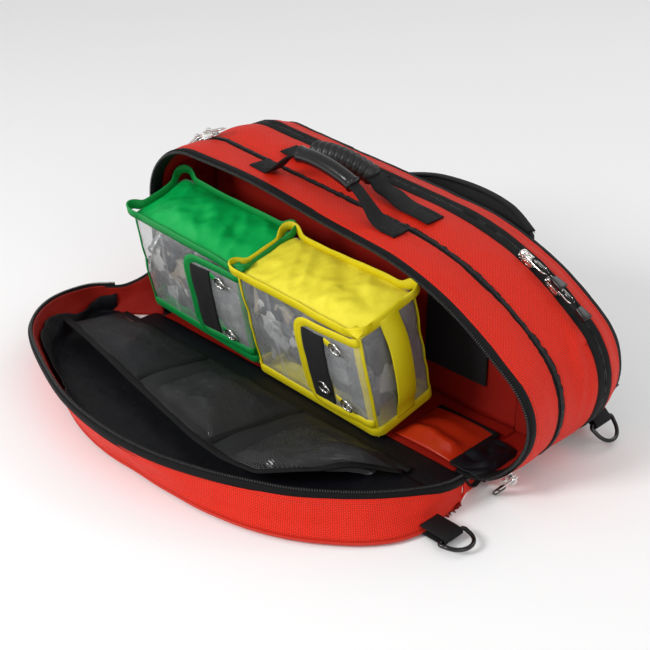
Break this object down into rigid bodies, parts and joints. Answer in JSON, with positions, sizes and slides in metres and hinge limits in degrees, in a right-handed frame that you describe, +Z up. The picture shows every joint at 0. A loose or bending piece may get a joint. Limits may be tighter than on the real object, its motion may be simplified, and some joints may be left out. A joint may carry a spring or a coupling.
{
  "type": "trauma backpack",
  "caption": "Soft clamshell trauma backpack lying on its side, lid open flat with mesh pockets, two window pouches inside, handles, zips and shoulder straps.",
  "frame": {"origin": "on the ground in the plane of the main opening, midway along the bag", "axes": "+X towards the worn top of the bag, +Y towards the wearer, +Z up as the bag lies on its long side"},
  "size_m": [0.5685, 0.4408, 0.255],
  "materials": {
    "red_nylon": "coarse ballistic nylon weave, slightly glossy",
    "dark_lining": "dark red coated lining",
    "coated_orange": "smooth coated fabric, semi gloss",
    "loop_pile": "black loop pile",
    "zip_tape": "black woven tape with moulded teeth",
    "chrome": "bright nickel plating",
    "black_webbing": "flat black webbing",
    "smooth_rubber": "smooth satin tube",
    "grip_rubber": "ribbed moulded rubber",
    "black_mesh": "open knit mesh",
    "black_plastic": "smooth moulded bar",
    "back_foam": "black padded fabric",
    "green_nylon": "plain green nylon",
    "yellow_nylon": "plain yellow nylon",
    "clear_vinyl": "clear flexible vinyl",
    "contents": "crumpled clear wrappers"
  },
  "bodies": {
    "body": {"floor_panel": "red_nylon", "front_gusset": "red_nylon", "mid_gusset": "red_nylon", "divider_panel": "dark_lining", "loop_panel": "loop_pile", "floor_flap": "coated_orange", "main_zip_body": "zip_tape", "expansion_zip": "zip_tape", "rear_zip_body": "zip_tape"},
    "front_handle": {"front_handle_strap": "black_webbing", "front_handle_tube": "smooth_rubber"},
    "rear_handle": {"rear_handle_strap": "black_webbing", "rear_handle_grip": "grip_rubber"},
    "main_right_slider": {"main_right_slider": "chrome"},
    "main_right_pull": {"main_right_pull": "chrome"},
    "main_left_slider": {"main_left_slider": "chrome"},
    "main_left_pull": {"main_left_pull": "chrome"},
    "expansion_left_slider": {"expansion_left_slider": "chrome"},
    "expansion_left_pull": {"expansion_left_pull": "chrome"},
    "expansion_right_slider": {"expansion_right_slider": "chrome"},
    "expansion_right_pull": {"expansion_right_pull": "chrome"},
    "rear_upper_slider": {"rear_upper_slider": "chrome"},
    "rear_upper_pull": {"rear_upper_pull": "chrome"},
    "rear_lower_slider": {"rear_lower_slider": "chrome"},
    "rear_lower_pull": {"rear_lower_pull": "chrome"},
    "lid": {"lid_panel": "red_nylon", "lid_gusset": "red_nylon", "main_zip_lid": "zip_tape", "pocket_left": "black_mesh", "pocket_middle": "black_mesh", "pocket_right": "black_mesh", "lid_ring_tab": "black_webbing"},
    "lid_ring": {"lid_d_ring": "black_plastic"},
    "rear_door": {"rear_gusset": "red_nylon", "rear_zip_door": "zip_tape", "back_panel": "back_foam", "shoulder_strap_upper": "back_foam", "shoulder_strap_lower": "back_foam", "strap_webbing_upper": "black_webbing", "strap_webbing_lower": "black_webbing", "door_ring_tab": "black_webbing"},
    "door_ring": {"door_d_ring": "black_plastic"},
    "green_hold": {"green_hold_strip": "loop_pile"},
    "green_pouch": {"green_base": "green_nylon", "green_top": "green_nylon", "green_end_handle": "green_nylon", "green_windows": "clear_vinyl", "green_contents": "contents"},
    "green_flap": {"green_flap": "clear_vinyl"},
    "yellow_hold": {"yellow_hold_strip": "loop_pile"},
    "yellow_pouch": {"yellow_base": "yellow_nylon", "yellow_top": "yellow_nylon", "yellow_end_handle": "yellow_nylon", "yellow_windows": "clear_vinyl", "yellow_contents": "contents"},
    "yellow_flap": {"yellow_flap": "clear_vinyl"}
  },
  "joints": [
    {"name": "lid_hinge", "type": "hinge", "parent": "body", "child": "lid", "pos_m": [0, -0.03, 0.00175], "axis": [-1, 0, 0], "range_deg": [0, 84]},
    {"name": "rear_door_hinge", "type": "hinge", "parent": "body", "child": "rear_door", "pos_m": [0, 0.157, 0.002], "axis": [-1, 0, 0], "range_deg": [0, 35]},
    {"name": "front_handle_swing", "type": "hinge", "parent": "body", "child": "front_handle", "pos_m": [-0.092, 0.031, 0.21242], "axis": [0.9976, 0, -0.0698], "range_deg": [-40, 75]},
    {"name": "rear_handle_swing", "type": "hinge", "parent": "body", "child": "rear_handle", "pos_m": [-0.1, 0.08, 0.21298], "axis": [0.9976, 0, -0.0698], "range_deg": [-45, 45]},
    {"name": "main_right_run", "type": "hinge", "parent": "body", "child": "main_right_slider", "pos_m": [0.1895, -0.002, 0.0725], "axis": [0, -1, 0], "range_deg": [0, 88]},
    {"name": "main_right_pull_swing", "type": "hinge", "parent": "main_right_slider", "child": "main_right_pull", "pos_m": [0.25856, -0.002, 0.02933], "axis": [0, -1, 0], "range_deg": [0, 150]},
    {"name": "main_left_run", "type": "slide", "parent": "body", "child": "main_left_slider", "axis": [0, 0, 1], "range_m": [0, 0.03]},
    {"name": "main_left_pull_swing", "type": "hinge", "parent": "main_left_slider", "child": "main_left_pull", "pos_m": [-0.2685, -0.002, 0.0705], "axis": [0, -1, 0], "range_deg": [-150, 0]},
    {"name": "expansion_left_run", "type": "hinge", "parent": "body", "child": "expansion_left_slider", "pos_m": [-0.192, 0.0535, 0.14724], "axis": [0, -1, 0], "range_deg": [0, 42]},
    {"name": "expansion_left_pull_swing", "type": "hinge", "parent": "expansion_left_slider", "child": "expansion_left_pull", "pos_m": [-0.23884, 0.0535, 0.20994], "axis": [0, 1, 0], "range_deg": [0, 150]},
    {"name": "expansion_right_run", "type": "hinge", "parent": "body", "child": "expansion_right_slider", "pos_m": [-0.192, 0.0535, 0.14724], "axis": [0, 1, 0], "range_deg": [0, 22]},
    {"name": "expansion_right_pull_swing", "type": "hinge", "parent": "expansion_right_slider", "child": "expansion_right_pull", "pos_m": [-0.22782, 0.0535, 0.21683], "axis": [0, -1, 0], "range_deg": [0, 150]},
    {"name": "rear_upper_run", "type": "hinge", "parent": "body", "child": "rear_upper_slider", "pos_m": [0.04327, 0.1151, -0.10178], "axis": [0, -1, 0], "range_deg": [0, 18]},
    {"name": "rear_upper_pull_swing", "type": "hinge", "parent": "rear_upper_slider", "child": "rear_upper_pull", "pos_m": [0.16151, 0.1151, 0.1847], "axis": [0, -1, 0], "range_deg": [0, 150]},
    {"name": "rear_lower_run", "type": "hinge", "parent": "body", "child": "rear_lower_slider", "pos_m": [0.04327, 0.1151, -0.10178], "axis": [0, 1, 0], "range_deg": [0, 8]},
    {"name": "rear_lower_pull_swing", "type": "hinge", "parent": "rear_lower_slider", "child": "rear_lower_pull", "pos_m": [0.1946, 0.1151, 0.16868], "axis": [0, -1, 0], "range_deg": [0, 150]},
    {"name": "lid_ring_swing", "type": "hinge", "parent": "lid", "child": "lid_ring", "pos_m": [0.2535, -0.085, 0.0065], "axis": [0, -1, 0], "range_deg": [0, 100]},
    {"name": "door_ring_swing", "type": "hinge", "parent": "rear_door", "child": "door_ring", "pos_m": [0.25101, 0.144, 0.02088], "axis": [0, -1, 0], "range_deg": [0, 70]},
    {"name": "green_tip", "type": "hinge", "parent": "body", "child": "green_hold", "pos_m": [-0.163, -0.006, 0.0062], "axis": [-1, 0, 0], "range_deg": [0, 14]},
    {"name": "green_lift_out", "type": "slide", "parent": "green_hold", "child": "green_pouch", "axis": [0, 0.92, -0.3919], "range_m": [-0.3, 0]},
    {"name": "green_flap_hinge", "type": "hinge", "parent": "green_pouch", "child": "green_flap", "pos_m": [-0.08, -0.00716, 0.00591], "axis": [0, 0.2419, -0.9703], "range_deg": [-40, 0]},
    {"name": "yellow_tip", "type": "hinge", "parent": "body", "child": "yellow_hold", "pos_m": [0.014, -0.006, 0.0062], "axis": [-1, 0, 0], "range_deg": [0, 14]},
    {"name": "yellow_lift_out", "type": "slide", "parent": "yellow_hold", "child": "yellow_pouch", "axis": [0, 0.92, -0.3919], "range_m": [-0.3, 0]},
    {"name": "yellow_flap_hinge", "type": "hinge", "parent": "yellow_pouch", "child": "yellow_flap", "pos_m": [0.097, -0.00716, 0.00591], "axis": [0, 0.2419, -0.9703], "range_deg": [-40, 0]}
  ],
  "couplings": [
    {"joint": "green_tip", "follows": "lid_hinge", "ratio": 0.16667},
    {"joint": "yellow_tip", "follows": "lid_hinge", "ratio": 0.16667}
  ]
}
